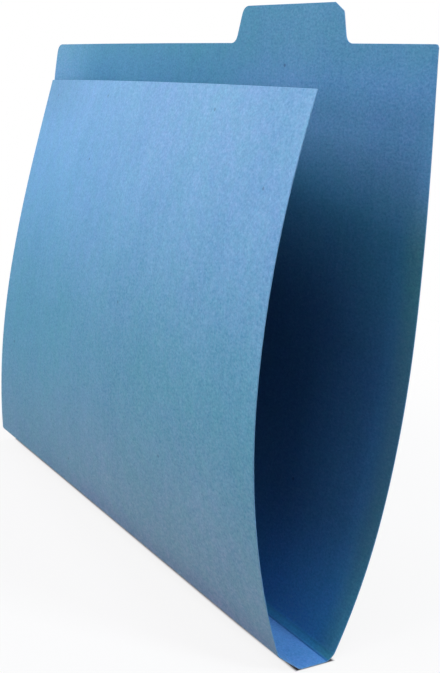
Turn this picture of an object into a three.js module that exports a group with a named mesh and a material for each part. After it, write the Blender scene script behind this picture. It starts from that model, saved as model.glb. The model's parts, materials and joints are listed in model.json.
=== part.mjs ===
// A blue card file folder with an index tab, standing half open on its squared-off bottom.
//
// The folder is one die-cut sheet of card. Four scored creases run along it and part it into five panels:
// a short front leaf, a sloping front strip, a flat floor strip, a narrow back strip and a taller back leaf
// that carries the tab. Each crease is a living hinge, shown as the bead that scoring raises in the card.
// The leaves bow, lean together until their tops touch at the far end, and stand open at the near end.
//
// Millimetres. +X runs along the creases to the near, open end, +Y to the back leaf and +Z up.
// The origin is the centre of the floor strip's underside.

import * as THREE from 'three';
import { mergeVertices } from 'three/addons/utils/BufferGeometryUtils.js';

// The sheet of card
const cardThickness = 0.45;
const sheetLength = 298;
const frontLeafHeight = 208.5;
const frontStripWidth = 12.7;
const floorStripWidth = 12.8;
const backStripWidth = 3.4;
const backLeafHeight = 231.8;
const backLeafFarCornerRadius = 4;
const backLeafNearCornerRadius = 1.3;

// The index tab, cut in one with the back leaf and placed from the middle of the sheet. Its far shoulder is
// rounded and its near one is cut off at a slant.
const tabCentre = 63.2;
const tabTopWidth = 66.1;
const tabHeight = 15.6;
const tabFlankRun = 3.8;
const tabShoulderRadius = 4.3;
const tabShoulderCutLength = 4.8;
const tabShoulderCutDepth = 3.4;
const tabRootRadius = 4.3;

// The scored creases: the raised bead, and the gap that lets a panel turn round it
const creaseBeadRadius = 0.4;
const creaseClearance = 0.3;
const creaseBeadSides = 12;

// How far each strip is folded up from the floor, in degrees
const frontStripFold = 37;
const backStripFold = 37.5;

// How far each leaf leans outwards from upright at its base, its middle and its top, in degrees
const frontLeafNearLean = { baseAngle: 20.6, middleAngle: -1.3, topAngle: -16 };
const frontLeafFarLean = { baseAngle: 5, middleAngle: -9.5, topAngle: -14.5 };
const backLeafNearLean = { baseAngle: 25.3, middleAngle: 3.4, topAngle: -1.3 };
const backLeafFarBow = { baseAngle: 12.7, middleAngle: -3.2, topAngle: 8.9 };

// The room left between the two leaves where their tops meet at the far end
const leafContactGap = 0.5;

// Facets
const panelStep = 14;
const leafRows = 16;
const arcSteps = 4;
const leanSteps = 32;

const blueCard = { color: 0x6fa8dc, roughness: 0.85, metalness: 0 };

const radians = THREE.MathUtils.degToRad;
const panelSetback = creaseBeadRadius + creaseClearance;
const halfLength = sheetLength / 2;

// The lean in degrees at a share of the leaf's height, on the parabola through its base, middle and top
function leanAt(lean, share) {
  return (
    lean.baseAngle * (1 - share) * (1 - 2 * share) +
    lean.middleAngle * 4 * share * (1 - share) +
    lean.topAngle * share * (2 * share - 1)
  );
}

// A leaf's lean between its far end (share 0) and its near end (share 1)
function mixLean(far, near, share) {
  return {
    baseAngle: THREE.MathUtils.lerp(far.baseAngle, near.baseAngle, share),
    middleAngle: THREE.MathUtils.lerp(far.middleAngle, near.middleAngle, share),
    topAngle: THREE.MathUtils.lerp(far.topAngle, near.topAngle, share),
  };
}

// Follows a leaf's inner face up from its crease: how far out and up it has come after a run along the card.
// Above the leaf's own height, as in the tab, the card goes on straight.
function followLeaf(lean, leafHeight, run) {
  let out = 0;
  let up = 0;
  const step = run / leanSteps;
  for (let i = 0; i < leanSteps; i += 1) {
    const share = Math.min(((i + 0.5) * step) / leafHeight, 1);
    const angle = radians(leanAt(lean, share));
    out += Math.sin(angle) * step;
    up += Math.cos(angle) * step;
  }
  const tilt = radians(leanAt(lean, Math.min(run / leafHeight, 1)));
  return { out, up, tilt };
}

// The creases of the front strip and the back strip, in the section across the folder
const floorCreaseHeight = cardThickness;
const frontLeafCrease = {
  y: -floorStripWidth / 2 - frontStripWidth * Math.cos(radians(frontStripFold)),
  z: floorCreaseHeight + frontStripWidth * Math.sin(radians(frontStripFold)),
};
const backLeafCrease = {
  y: floorStripWidth / 2 + backStripWidth * Math.cos(radians(backStripFold)),
  z: floorCreaseHeight + backStripWidth * Math.sin(radians(backStripFold)),
};

// The run along a leaf at which its section is a given distance from a point
function runAtDistance(section, from, distance, longestRun) {
  let low = 0;
  let high = longestRun;
  for (let i = 0; i < 40; i += 1) {
    const middle = (low + high) / 2;
    const point = section(middle);
    if (Math.hypot(point.y - from.y, point.z - from.z) < distance) low = middle;
    else high = middle;
  }
  return (low + high) / 2;
}

// The extra lean that brings the back leaf's far end against the front leaf's, at the top of the shorter one
function closingLean() {
  const frontSection = (run) => {
    const reached = followLeaf(frontLeafFarLean, frontLeafHeight, run);
    return { y: frontLeafCrease.y - reached.out, z: frontLeafCrease.z + reached.up };
  };
  const backSection = (run) => {
    const reached = followLeaf(backLeafFarBow, backLeafHeight, run);
    return { y: backLeafCrease.y + reached.out, z: backLeafCrease.z + reached.up };
  };
  const reach = (point) => Math.hypot(point.y - backLeafCrease.y, point.z - backLeafCrease.z);
  const bearing = (point) => Math.atan2(point.y - backLeafCrease.y, point.z - backLeafCrease.z);
  const meeting = Math.min(reach(frontSection(frontLeafHeight)), reach(backSection(backLeafHeight)));
  const frontRun = runAtDistance(frontSection, backLeafCrease, meeting, frontLeafHeight);
  const backRun = runAtDistance(backSection, backLeafCrease, meeting, backLeafHeight);
  const turn = bearing(frontSection(frontRun)) - bearing(backSection(backRun));
  return THREE.MathUtils.radToDeg(turn + leafContactGap / meeting);
}

const closing = closingLean();
const backLeafFarLean = {
  baseAngle: backLeafFarBow.baseAngle + closing,
  middleAngle: backLeafFarBow.middleAngle + closing,
  topAngle: backLeafFarBow.topAngle + closing,
};

// Divides a straight stretch of a leaf's top edge so that no facet is wider than the panel step
function straightTo(path, x, y) {
  const start = path.currentPoint.clone();
  const count = Math.max(1, Math.ceil(Math.abs(x - start.x) / panelStep));
  for (let i = 1; i <= count; i += 1) {
    const share = i / count;
    path.lineTo(THREE.MathUtils.lerp(start.x, x, share), THREE.MathUtils.lerp(start.y, y, share));
  }
}

// The front leaf's top edge, cut square
function plainTopEdge() {
  const path = new THREE.Path();
  path.moveTo(-halfLength, frontLeafHeight);
  straightTo(path, halfLength, frontLeafHeight);
  return path.getPoints(arcSteps);
}

// The back leaf's top edge: rounded corners, and the tab with its sloping flanks, rounded at their roots
function tabbedTopEdge() {
  const top = backLeafHeight;
  const farCorner = backLeafFarCornerRadius;
  const nearCorner = backLeafNearCornerRadius;
  const flank = Math.atan2(tabHeight, tabFlankRun);
  const rootReach = tabRootRadius * Math.tan(flank / 2);
  const shoulderReach = tabShoulderRadius * Math.tan(flank / 2);
  const halfTop = tabTopWidth / 2;
  const halfRoot = halfTop + tabFlankRun;
  const cutEnd = tabCentre + halfTop + tabShoulderCutDepth / Math.tan(flank);
  const path = new THREE.Path();
  path.moveTo(-halfLength, top - farCorner);
  path.absarc(-halfLength + farCorner, top - farCorner, farCorner, Math.PI, Math.PI / 2, true);
  straightTo(path, tabCentre - halfRoot - rootReach, top);
  path.absarc(tabCentre - halfRoot - rootReach, top + tabRootRadius, tabRootRadius,
    -Math.PI / 2, -Math.PI / 2 + flank, false);
  path.absarc(tabCentre - halfTop + shoulderReach, top + tabHeight - tabShoulderRadius, tabShoulderRadius,
    Math.PI / 2 + flank, Math.PI / 2, true);
  straightTo(path, tabCentre + halfTop - tabShoulderCutLength, top + tabHeight);
  path.lineTo(cutEnd, top + tabHeight - tabShoulderCutDepth);
  path.absarc(tabCentre + halfRoot + rootReach, top + tabRootRadius, tabRootRadius,
    -Math.PI / 2 - flank, -Math.PI / 2, false);
  straightTo(path, halfLength - nearCorner, top);
  path.absarc(halfLength - nearCorner, top - nearCorner, nearCorner, Math.PI / 2, 0, true);
  return path.getPoints(arcSteps);
}

// Drops the doubled points where one stretch of an edge meets the next
function distinctColumns(points) {
  return points.filter((point, i) => i === 0 || point.x - points[i - 1].x > 1e-4);
}

// Bends a flat blank of card into a leaf. The blank has a column at each point of the top edge and equal rows
// up to that edge, and place() says where a point of the blank goes: along, up the card, and through it from
// 0 at the inner face to 1 at the outer.
function bentBlank(topEdge, place) {
  const columns = distinctColumns(topEdge);
  const blank = new THREE.BoxGeometry(1, 1, 1, columns.length - 1, leafRows, 1);
  blank.deleteAttribute('normal');
  blank.deleteAttribute('uv');
  const geometry = mergeVertices(blank);
  const position = geometry.getAttribute('position');
  for (let i = 0; i < position.count; i += 1) {
    const column = columns[Math.round((position.getX(i) + 0.5) * (columns.length - 1))];
    const run = THREE.MathUtils.lerp(panelSetback, column.y, position.getY(i) + 0.5);
    const through = position.getZ(i) + 0.5;
    const point = place(column.x, run, through);
    position.setXYZ(i, point.x, point.y, point.z);
  }
  geometry.computeVertexNormals();
  return geometry;
}

function mesh(name, geometry) {
  const made = new THREE.Mesh(geometry, new THREE.MeshStandardMaterial(blueCard));
  made.name = name;
  return made;
}

// A leaf that stands on its crease. side is -1 for the front leaf and +1 for the back one.
function leaf(name, side, leafHeight, topEdge, farLean, nearLean) {
  const geometry = bentBlank(topEdge, (x, run, through) => {
    const lean = mixLean(farLean, nearLean, (x + halfLength) / sheetLength);
    const inner = followLeaf(lean, leafHeight, run);
    const depth = through * cardThickness;
    const out = inner.out + Math.cos(inner.tilt) * depth;
    const up = inner.up - Math.sin(inner.tilt) * depth;
    return new THREE.Vector3(x, side * out, up);
  });
  if (side > 0) geometry.index.array.reverse();
  return mesh(name, geometry);
}

// A flat strip between two creases, laid along Y from the crease at its origin, inner face up
function strip(name, width, side) {
  const geometry = new THREE.BoxGeometry(sheetLength, width - 2 * panelSetback, cardThickness);
  geometry.translate(0, (side * width) / 2, -cardThickness / 2);
  return mesh(name, geometry);
}

// The bead of a crease, along X
function crease(name) {
  const bead = new THREE.CylinderGeometry(creaseBeadRadius, creaseBeadRadius, sheetLength, creaseBeadSides);
  bead.rotateZ(Math.PI / 2);
  return mesh(name, bead);
}

// Groups pieces in the section's plane: placed at (y, z) and turned about the creases' direction
function placed(y, z, turn, ...pieces) {
  const group = new THREE.Group();
  group.position.set(0, y, z);
  group.rotation.x = turn;
  group.add(...pieces);
  return group;
}

// The front: the strip on its floor crease, with the leaf's crease and the leaf at its far edge
function frontSide() {
  const frontLeaf = leaf('front_leaf', -1, frontLeafHeight, plainTopEdge(),
    frontLeafFarLean, frontLeafNearLean);
  return placed(-floorStripWidth / 2, floorCreaseHeight, -radians(frontStripFold),
    strip('front_gusset_strip', frontStripWidth, -1),
    placed(-frontStripWidth, 0, 0, crease('front_leaf_crease')),
    placed(-frontStripWidth, 0, radians(frontStripFold), frontLeaf));
}

// The back: the same, narrower, with the tab on the leaf
function backSide() {
  const backLeaf = leaf('back_leaf_with_tab', 1, backLeafHeight, tabbedTopEdge(),
    backLeafFarLean, backLeafNearLean);
  return placed(floorStripWidth / 2, floorCreaseHeight, radians(backStripFold),
    strip('back_gusset_strip', backStripWidth, 1),
    placed(backStripWidth, 0, 0, crease('back_leaf_crease')),
    placed(backStripWidth, 0, -radians(backStripFold), backLeaf));
}

// The floor strip, with a crease along each of its long edges
function floor() {
  return placed(-floorStripWidth / 2, floorCreaseHeight, 0,
    strip('floor_strip', floorStripWidth, 1),
    crease('front_floor_crease'),
    placed(floorStripWidth, 0, 0, crease('back_floor_crease')));
}

const folder = new THREE.Group();
folder.add(floor(), frontSide(), backSide());

export default folder;
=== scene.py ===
import json
import math

import bpy
import numpy as np
from mathutils import Matrix, Vector


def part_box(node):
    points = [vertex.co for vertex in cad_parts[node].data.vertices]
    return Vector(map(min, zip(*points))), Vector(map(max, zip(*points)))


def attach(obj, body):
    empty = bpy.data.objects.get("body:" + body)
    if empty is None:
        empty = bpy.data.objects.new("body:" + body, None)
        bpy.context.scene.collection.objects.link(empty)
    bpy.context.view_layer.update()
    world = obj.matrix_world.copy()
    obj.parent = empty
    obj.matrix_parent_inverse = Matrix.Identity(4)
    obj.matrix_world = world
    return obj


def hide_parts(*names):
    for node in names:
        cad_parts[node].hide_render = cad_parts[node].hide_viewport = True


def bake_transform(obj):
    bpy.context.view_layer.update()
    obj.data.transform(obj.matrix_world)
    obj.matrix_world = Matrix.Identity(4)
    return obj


# A blue card file folder with an index tab, standing half open. Metres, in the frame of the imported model:
# +X along the creases to the open end, +Y to the back leaf, +Z up, with the origin under the floor strip.
#
# The folder is one scored sheet. Every point of it has a place on the flat sheet: x along the creases, and
# a run from the middle of the floor strip out along the card, to the front or to the back. One section,
# followed from crease to crease, folds that flat place into the standing folder.

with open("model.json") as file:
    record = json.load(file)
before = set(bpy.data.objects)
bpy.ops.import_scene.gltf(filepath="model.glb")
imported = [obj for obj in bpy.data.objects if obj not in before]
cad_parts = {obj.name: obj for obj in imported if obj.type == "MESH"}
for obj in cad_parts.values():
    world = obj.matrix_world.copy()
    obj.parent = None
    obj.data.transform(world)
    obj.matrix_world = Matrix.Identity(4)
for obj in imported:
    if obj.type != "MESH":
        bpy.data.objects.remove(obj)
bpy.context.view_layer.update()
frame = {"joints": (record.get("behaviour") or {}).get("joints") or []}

MM = 0.001

# The sheet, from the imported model
floor_low, floor_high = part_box("floor_strip")
CARD = floor_high.z - floor_low.z
HALF_LENGTH = floor_high.x
CREASE = {joint["name"]: Vector(joint["pos_m"]) for joint in frame["joints"]}
FLOOR_HALF = CREASE["back_gusset_fold"].y

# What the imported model's leaves are cut and bowed to
FRONT_LEAF_HEIGHT = 208.5 * MM
BACK_LEAF_HEIGHT = 231.8 * MM
FAR_CORNER_RADIUS = 4 * MM
NEAR_CORNER_RADIUS = 1.3 * MM
TAB_CENTRE = 63.2 * MM
TAB_TOP_WIDTH = 66.1 * MM
TAB_HEIGHT = 15.6 * MM
TAB_FLANK_RUN = 3.8 * MM
TAB_SHOULDER_RADIUS = 4.3 * MM
TAB_CUT_LENGTH = 4.8 * MM
TAB_CUT_DEPTH = 3.4 * MM
TAB_ROOT_RADIUS = 4.3 * MM

# The lean outwards from upright, in degrees, at a leaf's base, middle and top
FRONT_NEAR_LEAN = (20.6, -1.3, -16.0)
FRONT_FAR_LEAN = (5.0, -9.5, -14.5)
BACK_NEAR_LEAN = (25.3, 3.4, -1.3)
BACK_FAR_LEAN = (12.69, -3.21, 8.89)

# The scored creases, the floor's and then the leaf's, which was pressed less: how far the bend spreads, the
# bead raised inside and the groove pressed in outside
BEND_SPREAD = (0.45 * MM, 0.80 * MM)
BEAD_RISE = (0.30 * MM, 0.10 * MM)
BEAD_WIDTH = (0.42 * MM, 0.60 * MM)
GROOVE_DEPTH = (0.10 * MM, 0.05 * MM)
GROOVE_WIDTH = (0.35 * MM, 0.45 * MM)

# How far before a crease one piece of the sheet meets the next, and how far past the bend its close rows
# reach
SEAM_REACH = 1.0 * MM

# The cut edge: a fine chamfer on both faces, this far in, and this share of the card's thickness deep
EDGE_INSET = 0.09 * MM
EDGE_DEPTH = 0.22

# A slight waviness in the leaves: slow waves along and up a leaf, and a smaller, quick, slanting one, with a
# phase for each leaf. They grow from nothing at the crease and from a share of their height at the far end.
WAVE_HEIGHT = 0.16 * MM
WAVE_ABOVE_CREASE = 60 * MM
WAVE_FAR_SHARE = 0.35
WAVE_FROM_FAR_END = 120 * MM
SLOW_ALONG, SLOW_UP = 0.137, 0.171
QUICK_ALONG, QUICK_UP = 0.059, 0.083
QUICK_SHARE = 0.35
FRONT_PHASE, BACK_PHASE = 1.9, 0.4

# The section is followed in fine steps over and past the creases, and in longer ones up the leaf and its tab
FOLLOW_CREASES_STEP = 0.05 * MM
FOLLOW_LEAF_STEP = 1 * MM
FOLLOW_PAST_CREASE = 3 * MM
FOLLOW_PAST_LEAF = 20 * MM

# The mesh: its longest steps on a leaf and on a strip, and its close ones at a cut edge, over a crease out to
# the seam, and above that. A leaf's rows are level up to a height above its crease, and a number of others
# fill the rest. Faces that meet at more than the sharp angle, in degrees, aren't smoothed into each other.
LEAF_STEP = 2.2 * MM
STRIP_STEP = 1.2 * MM
EDGE_STEPS = np.array([0.0, 0.3, 0.8, 1.6]) * MM
CREASE_STEPS = np.array([0, 0.1, 0.2, 0.3, 0.45, 0.6, 0.8, 1.0]) * SEAM_REACH
ABOVE_CREASE_STEPS = np.array([1.4, 2.0, 3.0]) * MM
LEVEL_ROWS_HEIGHT = 170 * MM
UPPER_ROWS = 26
SHARP_ANGLE = 38

# The columns added where the back leaf's outline turns: over each end of the tab, out to where its root
# reaches past the flank, and round each top corner, but none this close to a cut end
TAB_END_COLUMNS = 34
TAB_ROOT_REACH = 3.4 * MM
CORNER_COLUMNS = 9
CLEAR_OF_END = 1.7 * MM

# The studio floor: how far it reaches, its colours as seen, painted dark under the folder as a contact
# shadow, and as it throws light back, its surface, and the distances between which it fades to white, from
# the least share of white on
FLOOR_REACH = 6.0
FLOOR_SEEN = (0.93, 0.93, 0.93, 1)
FLOOR_PAINTED_SHADOW = (0.11, 0.10, 0.11, 1)
FLOOR_BOUNCE = (0.28, 0.24, 0.23, 1)
FLOOR_ROUGHNESS = 0.9
FLOOR_GLOSS = 0.1
FADE_FROM, FADE_TO, FADE_LEAST = 0.15, 0.60, 0.86

# The studio floor keeps its whole shadow under the folder, where its colour is also painted dark as a contact
# shadow, and lets go of both over these stretches: behind and in front, in mm from the folder's middle, and
# past its ends, in mm from there. The front one draws in towards the open end.
SHADOW_BEHIND = (8.6, 10.4)
SHADOW_IN_FRONT = (-8.2, -10.2)
SHADOW_PAST_END = (-0.2, 0.8)
SHADOW_DRAWS_IN_FROM = 105 * MM
SHADOW_DRAWN_IN = 0.8 * MM

# The soft boxes round the folder, each with its direction in degrees (0 is the front, 90 the open end) and
# height, size, power and colour
LIT_FROM = Vector((0.02, 0, 0.12))
LAMP_DISTANCE = 2.2
LAMPS = (
    ("key_softbox", -74, 23, 0.75, 23, (0.86, 0.93, 1)),
    ("front_softbox", 0, 35, 1.2, 17.7, (1, 0.87, 0.87)),
    ("low_softbox", 0, 4, 0.8, 8, (1, 0.95, 0.87)),
    ("high_softbox", 32, 52, 1.0, 7.5, (0.87, 0.9, 1)),
    ("top_softbox", 100, 72, 0.4, 7.5, (0.87, 0.93, 1)),
    ("end_softbox", 114, 34, 0.5, 20.5, (0.87, 0.93, 1)),
    ("back_softbox", 192, 14, 1.0, 30, (1, 0.95, 0.93)),
)

# The card's display colours: its darker fibres, its paler ones and those at a cut edge
DARK_FIBRE = (68, 136, 198)
PALE_FIBRE = (121, 181, 230)
CUT_FIBRE = (150, 196, 234)

# The card's grain, as noise on the flat sheet with its features per metre along, up and through the card
FIBRES = {"scale": (850, 1050, 6000), "detail": 2, "roughness": 0.65, "distortion": 0.3}
MOTTLE = {"scale": (330, 300, 4000), "detail": 2, "roughness": 0.6}
FORMATION = {"scale": (34, 22, 900), "detail": 2, "offset": (3.1, 0.7, 0)}
STREAKS = {"scale": (300, 14, 500), "detail": 1, "offset": (0, 5, 0)}
DYE = {"scale": (520, 600, 5000), "detail": 3, "roughness": 0.7, "offset": (9, 2, 0)}
CLOUDS = {"scale": (16, 13, 700), "detail": 2, "offset": (1.7, 4.2, 0)}
PATCHES = {"scale": (110, 100, 2500), "detail": 1, "offset": (6.3, 2.9, 0)}

# How strongly each of the first four turns the card from its darker fibres to its paler ones
FIBRE_WEIGHT = 1.5
MOTTLE_WEIGHT = 0.4
FORMATION_WEIGHT = 0.3
STREAK_WEIGHT = 0.17

# The tints of the other three, which change over the middle of the noise's range: the dye's where it is deep,
# and the clouds' and patches' from their teal places to their violet ones
NOISE_MIDDLE = (0.3, 0.7)
DEEP_DYE = (0.78, 1, 0.985, 1)
TEAL_CLOUD = (0.96, 1.007, 0.985, 1)
VIOLET_CLOUD = (1.04, 0.99, 1.015, 1)
TEAL_PATCH = (0.96, 1.004, 0.98, 1)
VIOLET_PATCH = (1.04, 0.996, 1.02, 1)

# The few dark specks, one in each square of the sheet: their tint, the squares per metre, and how far the
# pattern is shifted along and where a speck's edge starts and ends, both in squares
SPECK = (0.50, 0.56, 0.66, 1)
SPECKS_PER_METRE = 10
SPECK_SHIFT = -0.08
SPECK_EDGE = (0.0095, 0.004)

# The tints that multiply the colour over the sheet, most of them painted light and shade. The stretches after
# a tint are where it comes in, from nothing to whole, in mm along the sheet, of run, or across the sheet,
# which is the run with the front side's below 0. On both faces, the colour turns darker and less red from the
# open end to the closed one.
CLOSED_END = (0.775, 0.93, 0.96, 1)
OPEN_END = (1.065, 1.01, 0.99, 1)
OPEN_END_ALONG = (-130, 90)

# The outer face: painted light low, in the middle and high on a leaf, a warm bounce low down and brighter
# high up, with the middle tilted up towards the open end. Then painted shade along the foot towards that end
# and in the closed end's top corner, and a tint a little less red on the whole back
OUTER_LOW_PAINTED_LIGHT = (1.66, 1.08, 0.85, 1)
OUTER_MIDDLE_PAINTED_LIGHT = (0.99, 1.06, 0.87, 1)
OUTER_MIDDLE_RUN = (20, 110)
OUTER_TILT = 0.07
OUTER_HIGH_PAINTED_LIGHT = (1.53, 1.27, 1.20, 1)
OUTER_HIGH_RUN = (95, 190)
OUTER_FOOT_PAINTED_SHADE = (0.88, 0.80, 0.90, 1)
OUTER_FOOT_RUN = (34, 19)
OUTER_FOOT_ALONG = (-150, 0)
OUTER_CORNER_PAINTED_SHADE = (0.62, 0.79, 0.79, 1)
OUTER_CORNER_RUN = (195, 226)
OUTER_CORNER_ALONG = (-50, -149)
OUTER_BACK = (0.88, 0.99, 0.97, 1)
OUTER_BACK_ACROSS = (-1, 1)

# The inner face, deep in the pocket: painted bounce light, bluer, low on a leaf, and painted shade above that
# and towards the closed end. Then painted light on the floor strip, painted shade on the back strip and a
# line of painted shade along the score between them, with some stretches in mm from this score or the leaf's
INNER_LOW_PAINTED_LIGHT = (0.60, 1.26, 1.50, 1)
INNER_DEEP_PAINTED_SHADE = (0.55, 0.88, 1.01, 1)
INNER_DEEP_RUN = (14, 62)
INNER_CLOSED_PAINTED_SHADE = (0.72, 0.90, 0.80, 1)
INNER_CLOSED_ALONG = (120, 60)
INNER_FLOOR_PAINTED_LIGHT = (1.03, 1.15, 1.42, 1)
INNER_FLOOR_FROM_SCORE = (0.4, -0.4)
INNER_FLOOR_ACROSS = (-24, -12)
INNER_STRIP_PAINTED_SHADE = (0.64, 0.82, 0.76, 1)
INNER_STRIP_FROM_SCORE = (0, 0.8)
INNER_STRIP_FROM_LEAF = (1.1, -0.7)
INNER_SCORE_PAINTED_SHADE = (0.35, 0.55, 0.62, 1)
INNER_SCORE_WITHIN = (0.8, 0.2)

# The inner face above the pocket: a band of painted light that lies lower near the open end. Painted light
# along the top, less red in its middle, lighter at its ends and with a painted highlight at its far end. A
# tint less red and blue at the top edge, then a browner tint at the back leaf's near end below the top, and
# painted shade over the whole front leaf
INNER_BAND_PAINTED_LIGHT = (0.59, 1.11, 1.10, 1)
INNER_BAND_RISEN = (132, 178)
INNER_TILT = 0.3
INNER_TILT_FROM = 85 * MM
INNER_TOP_MIDDLE_PAINTED_LIGHT = (0.74, 1.00, 0.98, 1)
INNER_TOP_MIDDLE_AT = -45 * MM
INNER_TOP_ENDS_PAINTED_LIGHT = (0.98, 1.06, 1.09, 1)
INNER_TOP_ENDS_FROM_MIDDLE = (45, 115)
INNER_TOP_FAR_PAINTED_HIGHLIGHT = (1.60, 1.21, 1.08, 1)
INNER_TOP_FAR_ALONG = (-90, -145)
INNER_TOP_RISEN = (178, 212)
INNER_EDGE = (0.87, 0.99, 0.88, 1)
INNER_EDGE_RUN = (224, 246)
INNER_NEAR = (0.95, 0.80, 0.62, 1)
INNER_NEAR_ALONG = (134, 147)
INNER_NEAR_RUN = (195, 165)
INNER_NEAR_FROM_SCORE = (0, 0.8)
INNER_FRONT_PAINTED_SHADE = (0.54, 0.92, 0.97, 1)
INNER_FRONT_ACROSS = (-20, -30)

# The cut edge: the shares of the card's thickness between which the inner face's tint gives way to the outer
# one's, the shares of the way onto the edge between which the card turns pale, and how pale
THROUGH_CARD = (0.3, 0.7)
INTO_CUT = (0.1, 0.9)
CUT_PALENESS = 0.4

# What is left of the card's colour in the light that one face throws on the other
BETWEEN_FACES = (0.02, 0.05, 0.18, 1)

# The card's surface: matt, with a trace of gloss and sheen and a fine relief
CARD_ROUGHNESS = 0.62
CARD_GLOSS = 0.15
CARD_SHEEN = 0.08
CARD_SHEEN_ROUGHNESS = 0.6
RELIEF_STRENGTH = 0.5
RELIEF_HEIGHT = 0.03 * MM
MOTTLE_RELIEF = 0.6

# The camera that took the photograph, fitted to the folder's outline, and how near and far it sees
FRAME_HEIGHT_PX = 673
FOCAL_PX = 1064.2
SENSOR = 36.0
CAMERA_AT = Vector((0.44080, -0.22741, 0.20904))
CAMERA_YAW = -58.579
CAMERA_PITCH = 12.683
CAMERA_ROLL = 2.916
NEAREST, FARTHEST = 0.01, 50


class Side:
    """One side of the folder, from the middle of the floor strip out to its leaf's top edge."""

    def __init__(self, outward, strip_crease, leaf_crease, height, far_lean, near_lean):
        across = abs(leaf_crease.y) - abs(strip_crease.y)
        rise = leaf_crease.z - strip_crease.z
        self.outward = outward
        self.fold = math.atan2(rise, across)
        self.height = height
        self.far_lean = far_lean
        self.near_lean = near_lean
        self.creases = (FLOOR_HALF, FLOOR_HALF + math.hypot(across, rise))
        self.leaf_start = self.creases[1]


FRONT = Side(-1, CREASE["front_gusset_fold"], CREASE["front_leaf_fold"],
             FRONT_LEAF_HEIGHT, FRONT_FAR_LEAN, FRONT_NEAR_LEAN)
BACK = Side(1, CREASE["back_gusset_fold"], CREASE["back_leaf_fold"],
            BACK_LEAF_HEIGHT, BACK_FAR_LEAN, BACK_NEAR_LEAN)


def smooth(t):
    t = np.clip(t, 0, 1)
    return t * t * (3 - 2 * t)


def lean_at(side, x, share):
    """The leaf's lean in radians at a place along it and a share of its height."""
    near = (x + HALF_LENGTH) / (2 * HALF_LENGTH)
    base, middle, top = (f + (n - f) * near for f, n in zip(side.far_lean, side.near_lean))
    lean = (base * (1 - share) * (1 - 2 * share)
            + middle * 4 * share * (1 - share)
            + top * share * (2 * share - 1))
    return np.radians(lean)


def direction_at(side, x, run):
    """The card's direction in radians at a run from the middle of the floor, where 0 is flat outwards."""
    share = np.clip((run - side.leaf_start) / side.height, 0, 1)
    leaf = math.pi / 2 - lean_at(side, x, share)
    onto_strip, onto_leaf = (smooth((run - crease) / (2 * spread) + 0.5)
                             for crease, spread in zip(side.creases, BEND_SPREAD))
    return side.fold * onto_strip * (1 - onto_leaf) + leaf * onto_leaf


def followed(side, x, runs):
    """The inner face's places (out, up) and direction at each of the runs, in the section at x."""
    past_crease = side.leaf_start + FOLLOW_PAST_CREASE
    past_leaf = side.leaf_start + side.height + FOLLOW_PAST_LEAF
    fine = np.concatenate([
        np.arange(-FLOOR_HALF, past_crease, FOLLOW_CREASES_STEP),
        np.arange(past_crease, past_leaf, FOLLOW_LEAF_STEP),
    ])
    middle = (fine[1:] + fine[:-1]) / 2
    direction = direction_at(side, x, middle)
    step = np.diff(fine)
    out = fine[0] + np.concatenate([[0], np.cumsum(np.cos(direction) * step)])
    up = np.concatenate([[0], np.cumsum(np.sin(direction) * step)])
    return np.interp(runs, fine, out), np.interp(runs, fine, up), direction_at(side, x, runs)


def hump(side, run, heights, widths):
    """A rise at each of a side's creases, falling to 0 beside it."""
    return sum(height * np.exp(-(((abs(run) - crease) / width) ** 2))
               for crease, height, width in zip(side.creases, heights, widths))


def wave(side, x, run):
    """How far the leaf waves out of its bow, nothing at the crease and little at the far end."""
    over_leaf = smooth((run - side.leaf_start) / WAVE_ABOVE_CREASE)
    from_far = WAVE_FAR_SHARE + (1 - WAVE_FAR_SHARE) * smooth((x + HALF_LENGTH) / WAVE_FROM_FAR_END)
    phase = BACK_PHASE if side.outward > 0 else FRONT_PHASE
    along = math.tau * x / SLOW_ALONG + phase
    up = math.tau * run / SLOW_UP + 2 * phase
    quick = math.tau * (x / QUICK_ALONG - run / QUICK_UP) + 3 * phase
    return WAVE_HEIGHT * over_leaf * from_far * (np.sin(along) * np.sin(up) + QUICK_SHARE * np.sin(quick))


def placed(side, x, runs, share):
    """Places in the folder for a column of the flat sheet at x, from the inner face at share 0 to the outer
    one at share 1."""
    out, up, direction = followed(side, x, runs)
    inner = -hump(side, runs, BEAD_RISE, BEAD_WIDTH)
    outer = CARD - hump(side, runs, GROOVE_DEPTH, GROOVE_WIDTH)
    depth = inner + (outer - inner) * share + wave(side, x, runs)
    y = side.outward * (out + np.sin(direction) * depth)
    z = CARD + up - np.cos(direction) * depth
    return np.stack([np.full_like(y, x), y, z], axis=1)


def stepped(points, step):
    """The points, with the stretches between them divided evenly so that none is longer than step."""
    divided = [np.linspace(a, b, max(1, math.ceil((b - a) / step)) + 1)[:-1]
               for a, b in zip(points, points[1:])]
    return np.concatenate([*divided, [points[-1]]])


def front_outline(x):
    """How high the front leaf's top edge stands above its crease at x, which is the same all along."""
    return FRONT_LEAF_HEIGHT


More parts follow.
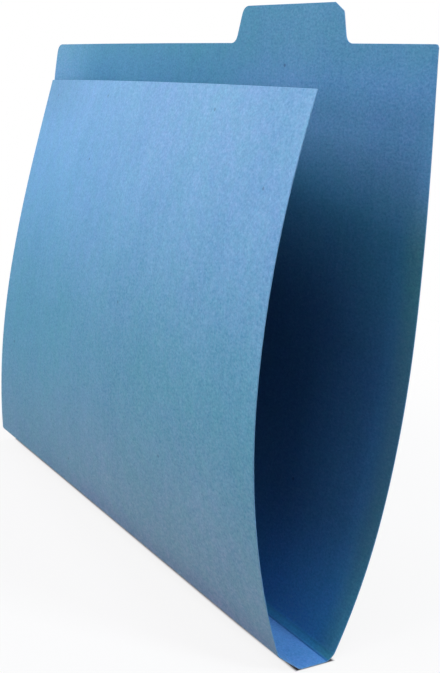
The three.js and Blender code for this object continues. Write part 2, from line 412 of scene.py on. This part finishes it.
def tab_outline(x):
    """How high the back leaf's top edge stands above its crease at x, tab and rounded corners included."""
    flank = math.atan2(TAB_HEIGHT, TAB_FLANK_RUN)
    from_tab = abs(x - TAB_CENTRE)
    half_root = TAB_TOP_WIDTH / 2 + TAB_FLANK_RUN
    root_from = half_root + TAB_ROOT_RADIUS * math.tan(flank / 2)
    root_to = root_from - TAB_ROOT_RADIUS * math.sin(flank)
    if from_tab >= root_from:
        rise = 0
    elif from_tab >= root_to:
        rise = TAB_ROOT_RADIUS - math.sqrt(TAB_ROOT_RADIUS ** 2 - (root_from - from_tab) ** 2)
    else:
        on_flank = (half_root - from_tab) * math.tan(flank)
        rise = min(on_flank, TAB_HEIGHT - shoulder_drop(x - TAB_CENTRE, flank))
    radius = NEAR_CORNER_RADIUS if x > 0 else FAR_CORNER_RADIUS
    into_corner = radius - (HALF_LENGTH - abs(x))
    if into_corner > 0:
        rise -= radius - math.sqrt(max(radius ** 2 - into_corner ** 2, 0))
    return BACK_LEAF_HEIGHT + rise


def shoulder_drop(from_centre, flank):
    """How far below the tab's top its far, rounded shoulder or its near, slanting one lies."""
    if from_centre < 0:
        round_from = TAB_TOP_WIDTH / 2 - TAB_SHOULDER_RADIUS * math.tan(flank / 2)
        into = min(-from_centre - round_from, TAB_SHOULDER_RADIUS * math.sin(flank))
        return TAB_SHOULDER_RADIUS - math.sqrt(TAB_SHOULDER_RADIUS ** 2 - into ** 2) if into > 0 else 0
    across = TAB_CUT_LENGTH + TAB_CUT_DEPTH / math.tan(flank)
    return max(0, from_centre - (TAB_TOP_WIDTH / 2 - TAB_CUT_LENGTH)) * TAB_CUT_DEPTH / across


def sheet_layer(side, columns, rows_at, ends_in_cut, share):
    """A piece's grid of points at a share of the card's thickness: in the folder, and on the flat sheet."""
    inset = EDGE_INSET if share in (0, 1) else 0
    places, flat = [], []
    for x in columns:
        rows = rows_at(x)
        if ends_in_cut:
            rows = np.minimum(rows, rows[-1] - inset)
        drawn_in = float(np.clip(x, -HALF_LENGTH + inset, HALF_LENGTH - inset))
        places.append(placed(side, drawn_in, rows, float(share)))
        depth = np.full_like(rows, share * CARD)
        flat.append(np.stack([np.full_like(rows, drawn_in), side.outward * rows, depth], axis=1))
    return np.array(places), np.array(flat)


def ring_round(wide, tall):
    """The column and row of each of a grid's outer points, once round."""
    ring = [(i, 0) for i in range(wide)]
    ring += [(wide - 1, j) for j in range(1, tall)]
    ring += [(i, tall - 1) for i in range(wide - 2, -1, -1)]
    ring += [(0, j) for j in range(tall - 2, 0, -1)]
    return ring


def closed_quads(wide, tall, ring):
    """A closed piece's faces: its inner and outer grids, and the three bands between them round the edge."""
    face_size = wide * tall
    quads = []
    for i in range(wide - 1):
        for j in range(tall - 1):
            a, b = i * tall + j, (i + 1) * tall + j
            quads.append((a, b, b + 1, a + 1))
            quads.append(tuple(face_size + k for k in (a, a + 1, b + 1, b)))
    inner_ring = [i * tall + j for i, j in ring]
    outer_ring = [face_size + k for k in inner_ring]
    low_ring = [2 * face_size + k for k in range(len(ring))]
    high_ring = [len(ring) + k for k in low_ring]
    for first, second in ((inner_ring, low_ring), (low_ring, high_ring), (high_ring, outer_ring)):
        for k in range(len(ring)):
            n = (k + 1) % len(ring)
            quads.append((first[n], first[k], second[k], second[n]))
    return quads


def sheet_piece(name, side, columns, rows_at, ends_in_cut):
    """A closed, finely chamfered piece of the sheet. rows_at(x) gives the runs of its rows in the column at
    x, from its seam to its end, which is a cut edge or another seam."""
    inner, low, high, outer = (sheet_layer(side, columns, rows_at, ends_in_cut, share)
                               for share in (0, EDGE_DEPTH, 1 - EDGE_DEPTH, 1))
    wide, tall = inner[0].shape[:2]
    ring = ring_round(wide, tall)
    at_ring = tuple(np.array(ring).T)
    faces = [[grid.reshape(-1, 3) for grid in layer] for layer in (inner, outer)]
    edges = [[grid[at_ring] for grid in layer] for layer in (low, high)]
    places, flat = (np.concatenate(grids) for grids in zip(*faces, *edges))
    cut = np.concatenate([np.zeros(2 * wide * tall), np.ones(2 * len(ring))])
    quads = closed_quads(wide, tall, ring)
    if side.outward > 0:
        quads = [q[::-1] for q in quads]

    mesh = bpy.data.meshes.new(name)
    mesh.from_pydata(places.tolist(), [], quads)
    add_values(mesh, "sheet", "FLOAT_VECTOR", "vector", flat)
    add_values(mesh, "cut", "FLOAT", "value", cut)
    mesh.polygons.foreach_set("use_smooth", [True] * len(mesh.polygons))
    mesh.set_sharp_from_angle(angle=math.radians(SHARP_ANGLE))
    mesh.update()
    piece = bpy.data.objects.new(name, mesh)
    bpy.context.scene.collection.objects.link(piece)
    return piece


def add_values(mesh, name, kind, field, values):
    layer = mesh.attributes.new(name, kind, "POINT")
    layer.data.foreach_set(field, values.astype(np.float32).ravel())


def crease_rows(crease):
    """Runs close together over a crease, out to where the seam before it lies."""
    return crease + np.concatenate([-CREASE_STEPS[:0:-1], CREASE_STEPS])


def leaf_rows(side, outline):
    """The rows of a leaf: level up to a height, and above it stretched to the top edge."""
    start = side.leaf_start
    low = np.concatenate([crease_rows(start), start + ABOVE_CREASE_STEPS])
    level_to = start + LEVEL_ROWS_HEIGHT
    level = np.concatenate([low[:-1], stepped([low[-1], level_to], LEAF_STEP)[:-1]])
    close = EDGE_STEPS[:0:-1]

    def rows(x):
        top = start + outline(x)
        upper = stepped([0, 1], 1 / UPPER_ROWS)[:-1] * (top - close[0] - level_to) + level_to
        return np.concatenate([level, upper, top - close, [top]])

    return rows


def sheet_columns(extra=()):
    """Columns from one cut end of the sheet to the other, close together there and at any extra places."""
    ends = [*(EDGE_STEPS - HALF_LENGTH), *(HALF_LENGTH - EDGE_STEPS)]
    inner = [x for x in extra if abs(x) < HALF_LENGTH - CLEAR_OF_END]
    return stepped(sorted([*ends, *inner]), LEAF_STEP)


def tab_columns():
    """The columns where the tab's outline turns, and close together on its round stretches and flanks."""
    cut_from = TAB_TOP_WIDTH / 2 - TAB_CUT_LENGTH
    root_to = TAB_TOP_WIDTH / 2 + TAB_FLANK_RUN + TAB_ROOT_REACH
    turning = np.linspace(cut_from, root_to, TAB_END_COLUMNS)
    quarter = 1 - np.sin(np.linspace(0, math.pi / 2, CORNER_COLUMNS))
    near_corner = HALF_LENGTH - NEAR_CORNER_RADIUS * quarter
    far_corner = FAR_CORNER_RADIUS * quarter - HALF_LENGTH
    return [*(TAB_CENTRE - turning), *(TAB_CENTRE + turning), *near_corner, *far_corner]


def math_node(tree, operation, *values, clamp=False):
    node = tree.nodes.new("ShaderNodeMath")
    node.operation = operation
    node.use_clamp = clamp
    for socket, value in zip(node.inputs, values):
        if isinstance(value, (int, float)):
            socket.default_value = value
        else:
            tree.links.new(value, socket)
    return node.outputs[0]


def mapped(tree, value, low, high, to_low=0.0, to_high=1.0):
    """A smooth step of value from low to high."""
    node = tree.nodes.new("ShaderNodeMapRange")
    node.interpolation_type = "SMOOTHSTEP"
    tree.links.new(value, node.inputs["Value"])
    for socket, number in zip(("From Min", "From Max", "To Min", "To Max"), (low, high, to_low, to_high)):
        node.inputs[socket].default_value = number
    return node.outputs["Result"]


def over(tree, value, stretch, start=0.0):
    """A smooth step of value from 0 to 1 over a stretch in mm, counted from start."""
    low, high = stretch
    return mapped(tree, value, start + low * MM, start + high * MM)


def noise(tree, coordinates, scale, detail=2.0, roughness=0.5, distortion=0.0, offset=(0, 0, 0)):
    """Noise on the flat sheet, with its scale in features per metre along, up and through the card."""
    mapping = tree.nodes.new("ShaderNodeMapping")
    mapping.inputs["Scale"].default_value = scale
    mapping.inputs["Location"].default_value = offset
    tree.links.new(coordinates, mapping.inputs["Vector"])
    texture = tree.nodes.new("ShaderNodeTexNoise")
    texture.inputs["Scale"].default_value = 1
    texture.inputs["Detail"].default_value = detail
    texture.inputs["Roughness"].default_value = roughness
    texture.inputs["Distortion"].default_value = distortion
    tree.links.new(mapping.outputs["Vector"], texture.inputs["Vector"])
    return texture.outputs["Fac"]


def patchy(tree, place, settings):
    """Noise on the flat sheet, spread out so that its low places are 0 and its high ones 1."""
    return mapped(tree, noise(tree, place, **settings), *NOISE_MIDDLE)


def mixed(tree, share, first, second, blend="MIX"):
    """Two colours mixed by share, where a colour is a socket or four numbers."""
    node = tree.nodes.new("ShaderNodeMix")
    node.data_type = "RGBA"
    node.blend_type = blend
    for socket, value in (("Factor", share), ("A", first), ("B", second)):
        target = next(s for s in node.inputs if s.name == socket and (s.type == "RGBA" or socket == "Factor"))
        if isinstance(value, (int, float, tuple)):
            target.default_value = value
        else:
            tree.links.new(value, target)
    return next(s for s in node.outputs if s.type == "RGBA")


def tinted(tree, share, colour, tint):
    """The colour with a share of a tint, which multiplies it."""
    return mixed(tree, share, colour, tint, "MULTIPLY")


def linear(red, green, blue):
    """A display colour of 0 to 255 as the shader's linear colour."""
    parts = [c / 255 for c in (red, green, blue)]
    return (*[c / 12.92 if c <= 0.04045 else ((c + 0.055) / 1.055) ** 2.4 for c in parts], 1.0)


def outer_tint_with_painted_light(tree, along, across, run):
    """The tint of the card's outer face, most of it painted light and shade."""
    tilted = math_node(tree, "MULTIPLY_ADD", along, -OUTER_TILT, run)
    # Painted light: a warm bounce low on a leaf, brighter high up
    tint = mixed(tree, over(tree, tilted, OUTER_MIDDLE_RUN), OUTER_LOW_PAINTED_LIGHT, OUTER_MIDDLE_PAINTED_LIGHT)
    tint = mixed(tree, over(tree, run, OUTER_HIGH_RUN), tint, OUTER_HIGH_PAINTED_LIGHT)
    # Painted shade along the foot
    foot_shade = math_node(tree, "MULTIPLY", over(tree, run, OUTER_FOOT_RUN),
                        over(tree, along, OUTER_FOOT_ALONG))
    tint = tinted(tree, foot_shade, tint, OUTER_FOOT_PAINTED_SHADE)
    # Painted shade in the closed end's top corner
    corner_shade = math_node(tree, "MULTIPLY", over(tree, run, OUTER_CORNER_RUN),
                          over(tree, along, OUTER_CORNER_ALONG))
    tint = tinted(tree, corner_shade, tint, OUTER_CORNER_PAINTED_SHADE)
    return mixed(tree, over(tree, across, OUTER_BACK_ACROSS), tint, OUTER_BACK)


def deep_painted_light_and_shade(tree, along, across, run):
    """The tint of the card's inner face from the floor strip to deep in the pocket: painted light and shade.
    """
    # Painted bounce light, bluer, low on a leaf, and painted shade deep in the pocket and towards the closed
    # end
    tint = mixed(tree, over(tree, run, INNER_DEEP_RUN), INNER_LOW_PAINTED_LIGHT, INNER_DEEP_PAINTED_SHADE)
    tint = tinted(tree, over(tree, along, INNER_CLOSED_ALONG), tint, INNER_CLOSED_PAINTED_SHADE)
    # Painted light on the floor strip
    on_floor = math_node(tree, "MULTIPLY", over(tree, across, INNER_FLOOR_FROM_SCORE, FLOOR_HALF),
                         over(tree, across, INNER_FLOOR_ACROSS))
    tint = mixed(tree, on_floor, tint, INNER_FLOOR_PAINTED_LIGHT)
    # Painted shade on the back strip
    on_strip = math_node(tree, "MULTIPLY", over(tree, across, INNER_STRIP_FROM_SCORE, FLOOR_HALF),
                         over(tree, across, INNER_STRIP_FROM_LEAF, BACK.leaf_start))
    tint = tinted(tree, on_strip, tint, INNER_STRIP_PAINTED_SHADE)
    # A line of painted shade along the score
    from_score = math_node(tree, "ABSOLUTE", math_node(tree, "SUBTRACT", across, FLOOR_HALF))
    return tinted(tree, over(tree, from_score, INNER_SCORE_WITHIN), tint, INNER_SCORE_PAINTED_SHADE)


def inner_tint_with_painted_light(tree, along, across, run):
    """The tint of the card's inner face, most of it painted light and shade."""
    past_tilt = math_node(tree, "MAXIMUM", math_node(tree, "SUBTRACT", along, INNER_TILT_FROM), 0)
    risen = math_node(tree, "MULTIPLY_ADD", past_tilt, INNER_TILT, run)
    tint = deep_painted_light_and_shade(tree, along, across, run)
    # A band of painted light
    tint = mixed(tree, over(tree, risen, INNER_BAND_RISEN), tint, INNER_BAND_PAINTED_LIGHT)
    # Painted light along the top, with a painted highlight at its far end
    from_middle = math_node(tree, "ABSOLUTE", math_node(tree, "SUBTRACT", along, INNER_TOP_MIDDLE_AT))
    top = mixed(tree, over(tree, from_middle, INNER_TOP_ENDS_FROM_MIDDLE), INNER_TOP_MIDDLE_PAINTED_LIGHT, INNER_TOP_ENDS_PAINTED_LIGHT)
    top = tinted(tree, over(tree, along, INNER_TOP_FAR_ALONG), top, INNER_TOP_FAR_PAINTED_HIGHLIGHT)
    tint = mixed(tree, over(tree, risen, INNER_TOP_RISEN), tint, top)
    tint = tinted(tree, over(tree, run, INNER_EDGE_RUN), tint, INNER_EDGE)
    at_near_end = math_node(tree, "MULTIPLY", over(tree, along, INNER_NEAR_ALONG),
                            over(tree, run, INNER_NEAR_RUN))
    at_near_end = math_node(tree, "MULTIPLY", at_near_end,
                            over(tree, across, INNER_NEAR_FROM_SCORE, FLOOR_HALF))
    tint = tinted(tree, at_near_end, tint, INNER_NEAR)
    # Painted shade over the whole front leaf
    return mixed(tree, over(tree, across, INNER_FRONT_ACROSS), tint, INNER_FRONT_PAINTED_SHADE)


def tints_with_painted_light(tree, place):
    """The tints over the sheet, different on its two faces: most of them painted light and shade, with the
    ends' tint and random clouds and patches of tone.
    """
    parts = tree.nodes.new("ShaderNodeSeparateXYZ")
    tree.links.new(place, parts.inputs["Vector"])
    along, across, depth = (parts.outputs[axis] for axis in "XYZ")
    run = math_node(tree, "ABSOLUTE", across)
    inner = inner_tint_with_painted_light(tree, along, across, run)
    outer = outer_tint_with_painted_light(tree, along, across, run)
    light_and_tone = mixed(tree, mapped(tree, depth, *(share * CARD for share in THROUGH_CARD)), inner, outer)
    ends = mixed(tree, over(tree, along, OPEN_END_ALONG), CLOSED_END, OPEN_END)
    clouds = mixed(tree, patchy(tree, place, CLOUDS), TEAL_CLOUD, VIOLET_CLOUD)
    patches = mixed(tree, patchy(tree, place, PATCHES), TEAL_PATCH, VIOLET_PATCH)
    for tint in (ends, clouds, patches):
        light_and_tone = tinted(tree, 1.0, light_and_tone, tint)
    return light_and_tone


def specks(tree, place):
    """1 in a few tiny dark fibres and 0 beside them."""
    mapping = tree.nodes.new("ShaderNodeMapping")
    mapping.inputs["Scale"].default_value = (SPECKS_PER_METRE, SPECKS_PER_METRE, 1)
    mapping.inputs["Location"].default_value = (SPECK_SHIFT, 0, 0)
    tree.links.new(place, mapping.inputs["Vector"])
    points = tree.nodes.new("ShaderNodeTexVoronoi")
    points.voronoi_dimensions = "2D"
    points.inputs["Scale"].default_value = 1
    tree.links.new(mapping.outputs["Vector"], points.inputs["Vector"])
    return mapped(tree, points.outputs["Distance"], *SPECK_EDGE)


def sheet_value(tree, name):
    """One of the values that the mesh's points carry."""
    value = tree.nodes.new("ShaderNodeAttribute")
    value.attribute_name = name
    return value


def card_material():
    """Blue fibre card: cloudy formation, fine fibres along the grain, a few specks, pale cut edges, and
    painted light and shade over both faces.
    """
    material = bpy.data.materials.new("blue_card")
    material.use_nodes = True
    tree = material.node_tree
    tree.nodes.clear()
    place = sheet_value(tree, "sheet").outputs["Vector"]

    fibres = noise(tree, place, **FIBRES)
    mottle = noise(tree, place, **MOTTLE)
    formation = noise(tree, place, **FORMATION)
    streaks = noise(tree, place, **STREAKS)
    tone = 0.5
    for grain, weight in ((fibres, FIBRE_WEIGHT), (mottle, MOTTLE_WEIGHT),
                          (formation, FORMATION_WEIGHT), (streaks, STREAK_WEIGHT)):
        tone = math_node(tree, "MULTIPLY_ADD", math_node(tree, "SUBTRACT", grain, 0.5), weight, tone)
    tone = math_node(tree, "ADD", tone, 0, clamp=True)
    colour = mixed(tree, tone, linear(*DARK_FIBRE), linear(*PALE_FIBRE))

    colour = tinted(tree, patchy(tree, place, DYE), colour, DEEP_DYE)
    # Painted light and shade over both faces, with random clouds and patches of tone, multiply the colour
    colour = tinted(tree, 1.0, colour, tints_with_painted_light(tree, place))
    colour = tinted(tree, specks(tree, place), colour, SPECK)

    paler = mapped(tree, sheet_value(tree, "cut").outputs["Fac"], *INTO_CUT, 0.0, CUT_PALENESS)
    colour = mixed(tree, paler, colour, linear(*CUT_FIBRE))
    path = tree.nodes.new("ShaderNodeLightPath")
    colour = tinted(tree, path.outputs["Is Diffuse Ray"], colour, BETWEEN_FACES)

    shader = tree.nodes.new("ShaderNodeBsdfPrincipled")
    shader.inputs["Roughness"].default_value = CARD_ROUGHNESS
    shader.inputs["Specular IOR Level"].default_value = CARD_GLOSS
    shader.inputs["Sheen Weight"].default_value = CARD_SHEEN
    shader.inputs["Sheen Roughness"].default_value = CARD_SHEEN_ROUGHNESS
    tree.links.new(colour, shader.inputs["Base Color"])

    relief = tree.nodes.new("ShaderNodeBump")
    relief.inputs["Strength"].default_value = RELIEF_STRENGTH
    relief.inputs["Distance"].default_value = RELIEF_HEIGHT
    tree.links.new(math_node(tree, "MULTIPLY_ADD", mottle, MOTTLE_RELIEF, fibres), relief.inputs["Height"])
    tree.links.new(relief.outputs["Normal"], shader.inputs["Normal"])

    output = tree.nodes.new("ShaderNodeOutputMaterial")
    tree.links.new(shader.outputs["BSDF"], output.inputs["Surface"])
    return material


def blended(piece):
    """The piece, with its placement baked into its mesh."""
    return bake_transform(piece)


def build_folder():
    card = card_material()
    columns = sheet_columns()
    floor_edge = FLOOR_HALF - SEAM_REACH

    floor_rows = stepped([-floor_edge, floor_edge], STRIP_STEP)
    floor = sheet_piece("floor_panel", BACK, columns, lambda x: floor_rows, ends_in_cut=False)
    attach(floor, "base")
    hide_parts("floor_strip")

    pieces = [floor]
    for side, word, outline, leaf_node, leaf_columns in (
        (FRONT, "front", front_outline, "front_leaf", columns),
        (BACK, "back", tab_outline, "back_leaf_with_tab", sheet_columns(tab_columns())),
    ):
        low, high = side.creases
        above_low = stepped([low + STRIP_STEP, high - SEAM_REACH], STRIP_STEP)
        strip_rows = np.concatenate([crease_rows(low), above_low])
        strip = sheet_piece(f"{word}_gusset_panel", side, columns, lambda x: strip_rows, ends_in_cut=False)
        blended(strip)
        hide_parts(f"{word}_gusset_strip", f"{word}_floor_crease")

        rows_at = leaf_rows(side, outline)
        leaf = sheet_piece(f"{word}_leaf_sheet", side, leaf_columns, rows_at, ends_in_cut=True)
        blended(leaf)
        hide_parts(leaf_node, f"{word}_leaf_crease")
        pieces += [strip, leaf]

    for piece in pieces:
        piece.data.materials.append(card)


def seen_directly(tree):
    """1 for what the camera sees by itself, in a reflection or through glass."""
    path = tree.nodes.new("ShaderNodeLightPath")
    seen = math_node(tree, "ADD", path.outputs["Is Camera Ray"], path.outputs["Is Glossy Ray"], clamp=True)
    return math_node(tree, "ADD", seen, path.outputs["Is Transmission Ray"], clamp=True)


def clear_of_folder(tree, place):
    """0 under the folder, where the floor keeps its whole shadow and is painted dark as a contact shadow, and
    1 beside it.
    """
    parts = tree.nodes.new("ShaderNodeSeparateXYZ")
    tree.links.new(place, parts.inputs["Vector"])
    behind = over(tree, parts.outputs["Y"], SHADOW_BEHIND)
    drawn_in = mapped(tree, parts.outputs["X"], SHADOW_DRAWS_IN_FROM, HALF_LENGTH, 0.0, -SHADOW_DRAWN_IN)
    in_front = over(tree, math_node(tree, "ADD", parts.outputs["Y"], drawn_in), SHADOW_IN_FRONT)
    from_middle = math_node(tree, "ABSOLUTE", parts.outputs["X"])
    past_end = over(tree, from_middle, SHADOW_PAST_END, HALF_LENGTH)
    return math_node(tree, "MAXIMUM", math_node(tree, "MAXIMUM", behind, in_front), past_end)


def floor_material():
    """A pale floor that fades into the white surround, with a painted contact shadow darkening it under the
    folder.
    """
    material = bpy.data.materials.new("pale_floor")
    material.use_nodes = True
    tree = material.node_tree
    seen = seen_directly(tree)
    shader = tree.nodes["Principled BSDF"]
    place = tree.nodes.new("ShaderNodeTexCoord")
    clear = clear_of_folder(tree, place.outputs["Object"])
    # Painted contact shadow: the floor's colour turns dark under the folder
    seen_with_painted_shadow = mixed(tree, clear, FLOOR_PAINTED_SHADOW, FLOOR_SEEN)
    tree.links.new(mixed(tree, seen, FLOOR_BOUNCE, seen_with_painted_shadow), shader.inputs["Base Color"])
    shader.inputs["Roughness"].default_value = FLOOR_ROUGHNESS
    shader.inputs["Specular IOR Level"].default_value = FLOOR_GLOSS

    white = tree.nodes.new("ShaderNodeEmission")
    away = tree.nodes.new("ShaderNodeVectorMath")
    away.operation = "LENGTH"
    tree.links.new(place.outputs["Object"], away.inputs[0])
    faded = mapped(tree, away.outputs["Value"], FADE_FROM, FADE_TO, FADE_LEAST, 1.0)
    faded = math_node(tree, "MULTIPLY", faded, clear)
    mix = tree.nodes.new("ShaderNodeMixShader")
    tree.links.new(math_node(tree, "MULTIPLY", faded, seen), mix.inputs["Fac"])
    tree.links.new(shader.outputs["BSDF"], mix.inputs[1])
    tree.links.new(white.outputs["Emission"], mix.inputs[2])
    tree.links.new(mix.outputs["Shader"], tree.nodes["Material Output"].inputs["Surface"])
    return material


def build_floor():
    mesh = bpy.data.meshes.new("studio_floor")
    corners = [(x * FLOOR_REACH, y * FLOOR_REACH, 0) for x, y in ((-1, -1), (1, -1), (1, 1), (-1, 1))]
    mesh.from_pydata(corners, [], [(0, 1, 2, 3)])
    floor = bpy.data.objects.new("studio_floor", mesh)
    bpy.context.scene.collection.objects.link(floor)
    mesh.materials.append(floor_material())


def build_surround():
    """A white surround that is seen but throws no light."""
    world = bpy.data.worlds.new("surround")
    world.use_nodes = True
    bpy.context.scene.world = world
    tree = world.node_tree
    backdrop = tree.nodes["Background"]
    backdrop.inputs["Color"].default_value = (1, 1, 1, 1)
    tree.links.new(seen_directly(tree), backdrop.inputs["Strength"])


def build_lamp(name, direction, height, size, power, colour):
    turn, rise = math.radians(direction), math.radians(height)
    towards = Vector((math.sin(turn) * math.cos(rise), -math.cos(turn) * math.cos(rise), math.sin(rise)))
    light = bpy.data.lights.new(name, "AREA")
    light.shape = "RECTANGLE"
    light.size = light.size_y = size
    light.energy = power
    light.color = colour
    lamp = bpy.data.objects.new(name, light)
    lamp.location = LIT_FROM + towards * LAMP_DISTANCE
    lamp.rotation_euler = (LIT_FROM - lamp.location).to_track_quat("-Z", "Y").to_euler()
    bpy.context.scene.collection.objects.link(lamp)


def build_camera():
    yaw, pitch, roll = (math.radians(a) for a in (CAMERA_YAW, CAMERA_PITCH, CAMERA_ROLL))
    forward = Vector((math.sin(yaw) * math.cos(pitch), math.cos(yaw) * math.cos(pitch), -math.sin(pitch)))
    level = Vector((math.cos(yaw), -math.sin(yaw), 0))
    upright = level.cross(forward)
    right = level * math.cos(roll) + upright * math.sin(roll)
    up = upright * math.cos(roll) - level * math.sin(roll)
    lens = bpy.data.cameras.new("camera")
    lens.sensor_fit = "AUTO"
    lens.sensor_width = SENSOR
    lens.lens = FOCAL_PX * SENSOR / FRAME_HEIGHT_PX
    lens.clip_start, lens.clip_end = NEAREST, FARTHEST
    camera = bpy.data.objects.new("camera", lens)
    turn = Matrix((right, up, -forward)).transposed().to_4x4()
    camera.matrix_world = Matrix.Translation(CAMERA_AT) @ turn
    bpy.context.scene.collection.objects.link(camera)
    bpy.context.scene.camera = camera


build_camera()
build_floor()
build_surround()
for lamp in LAMPS:
    build_lamp(*lamp)
build_folder()
bpy.context.scene.view_settings.view_transform = "Standard"
